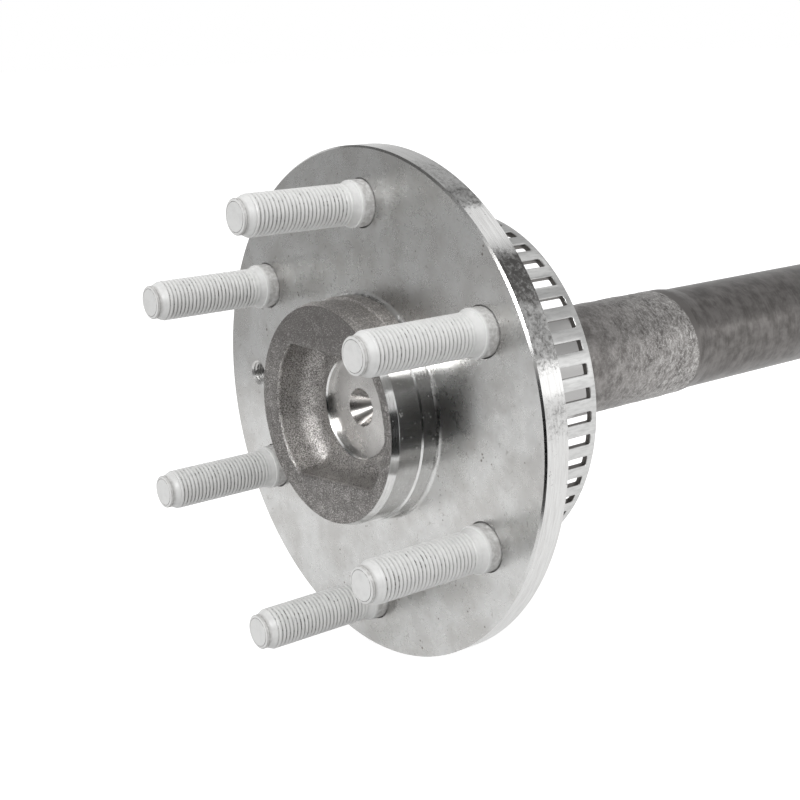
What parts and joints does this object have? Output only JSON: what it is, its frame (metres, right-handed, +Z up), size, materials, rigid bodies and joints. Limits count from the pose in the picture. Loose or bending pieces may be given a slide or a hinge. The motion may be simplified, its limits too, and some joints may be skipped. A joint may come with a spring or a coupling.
{
  "type": "axle shaft",
  "caption": "Flanged axle shaft with a stepped centring hub, pressed wheel studs, a slotted tone ring, a ground bearing journal and a splined inner end.",
  "frame": {"origin": "centre of the flange's wheel face, on the shaft's axis", "axes": "+Y along the shaft from the flange to the splined inner end, +Z up, +X to the right; the studs point to -Y, with stud holes at 30, 90, 150, 210, 270 and 330 degrees from +X towards +Z"},
  "size_m": [0.1774, 0.9019, 0.1772],
  "materials": {
    "shaft_steel": "turned and ground, forging scale on the neck and hub face",
    "ring_steel": "stamped, satin",
    "stud_coating": "matt zinc-flake coating"
  },
  "bodies": {
    "root": {"axle_shaft": "shaft_steel", "tone_ring": "ring_steel", "wheel_stud_1": "stud_coating", "wheel_stud_2": "stud_coating", "wheel_stud_3": "stud_coating", "wheel_stud_4": "stud_coating", "wheel_stud_5": "stud_coating", "wheel_stud_6": "stud_coating"}
  },
  "joints": []
}
